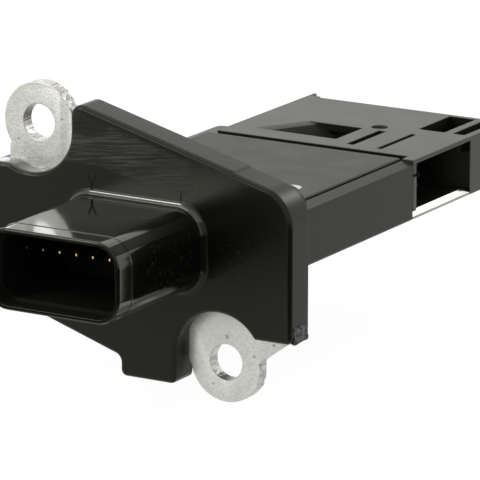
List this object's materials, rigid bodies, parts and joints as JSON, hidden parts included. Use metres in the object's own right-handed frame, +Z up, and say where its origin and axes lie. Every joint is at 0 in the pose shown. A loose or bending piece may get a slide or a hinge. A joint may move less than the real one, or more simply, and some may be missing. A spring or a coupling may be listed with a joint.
{
  "type": "mass airflow sensor",
  "caption": "Slot-in mass airflow sensor: flange with a keyed electrical socket, metal screw plate, sealed neck and a flat probe with a side inlet and an air passage.",
  "frame": {"origin": "on the seating face against the duct, half way between the two screw holes", "axes": "+Y into the duct along the probe, +X to the right and +Z up when looking into the connector"},
  "size_m": [0.0475, 0.0944, 0.0394],
  "materials": {
    "glass_filled_plastic": "black glass-filled plastic, satin, glossier on the connector",
    "cover_plastic": "black glass-filled plastic with a fine matte grain",
    "tip_plastic": "black glass-filled plastic, matte, with mould marks",
    "plate_metal": "matte light metal sheet with sheared edges",
    "seal_rubber": "black rubber, smooth",
    "terminal_gold": "gold-plated copper alloy",
    "base_aluminium": "plain aluminium sheet",
    "board_ceramic": "off-white ceramic board",
    "chip_case": "black moulded chip case",
    "capacitor_ceramic": "tan ceramic",
    "silicone_gel": "clear soft silicone gel",
    "wire_aluminium": "drawn aluminium wire",
    "post_metal": "nickel-plated wire posts",
    "element_glass": "glass-coated wound element",
    "thermistor_glass": "glass bead"
  },
  "bodies": {
    "root": {"housing": "glass_filled_plastic", "mounting_plate": "plate_metal", "seal_ring": "seal_rubber", "circuit_cover": "cover_plastic", "bypass_body": "tip_plastic", "bypass_cover": "tip_plastic", "terminal_1": "terminal_gold", "terminal_2": "terminal_gold", "terminal_3": "terminal_gold", "terminal_4": "terminal_gold", "terminal_5": "terminal_gold", "terminal_6": "terminal_gold", "base_plate": "base_aluminium", "circuit_board": "board_ceramic", "control_chip": "chip_case", "chip_capacitors": "capacitor_ceramic", "chip_resistors": "chip_case", "circuit_gel": "silicone_gel", "bond_wires": "wire_aluminium", "heater_post_1": "post_metal", "heater_post_2": "post_metal", "reference_post_1": "post_metal", "reference_post_2": "post_metal", "thermistor_lead_1": "post_metal", "thermistor_lead_2": "post_metal", "heating_element": "element_glass", "reference_element": "element_glass", "air_thermistor": "thermistor_glass"}
  },
  "joints": []
}
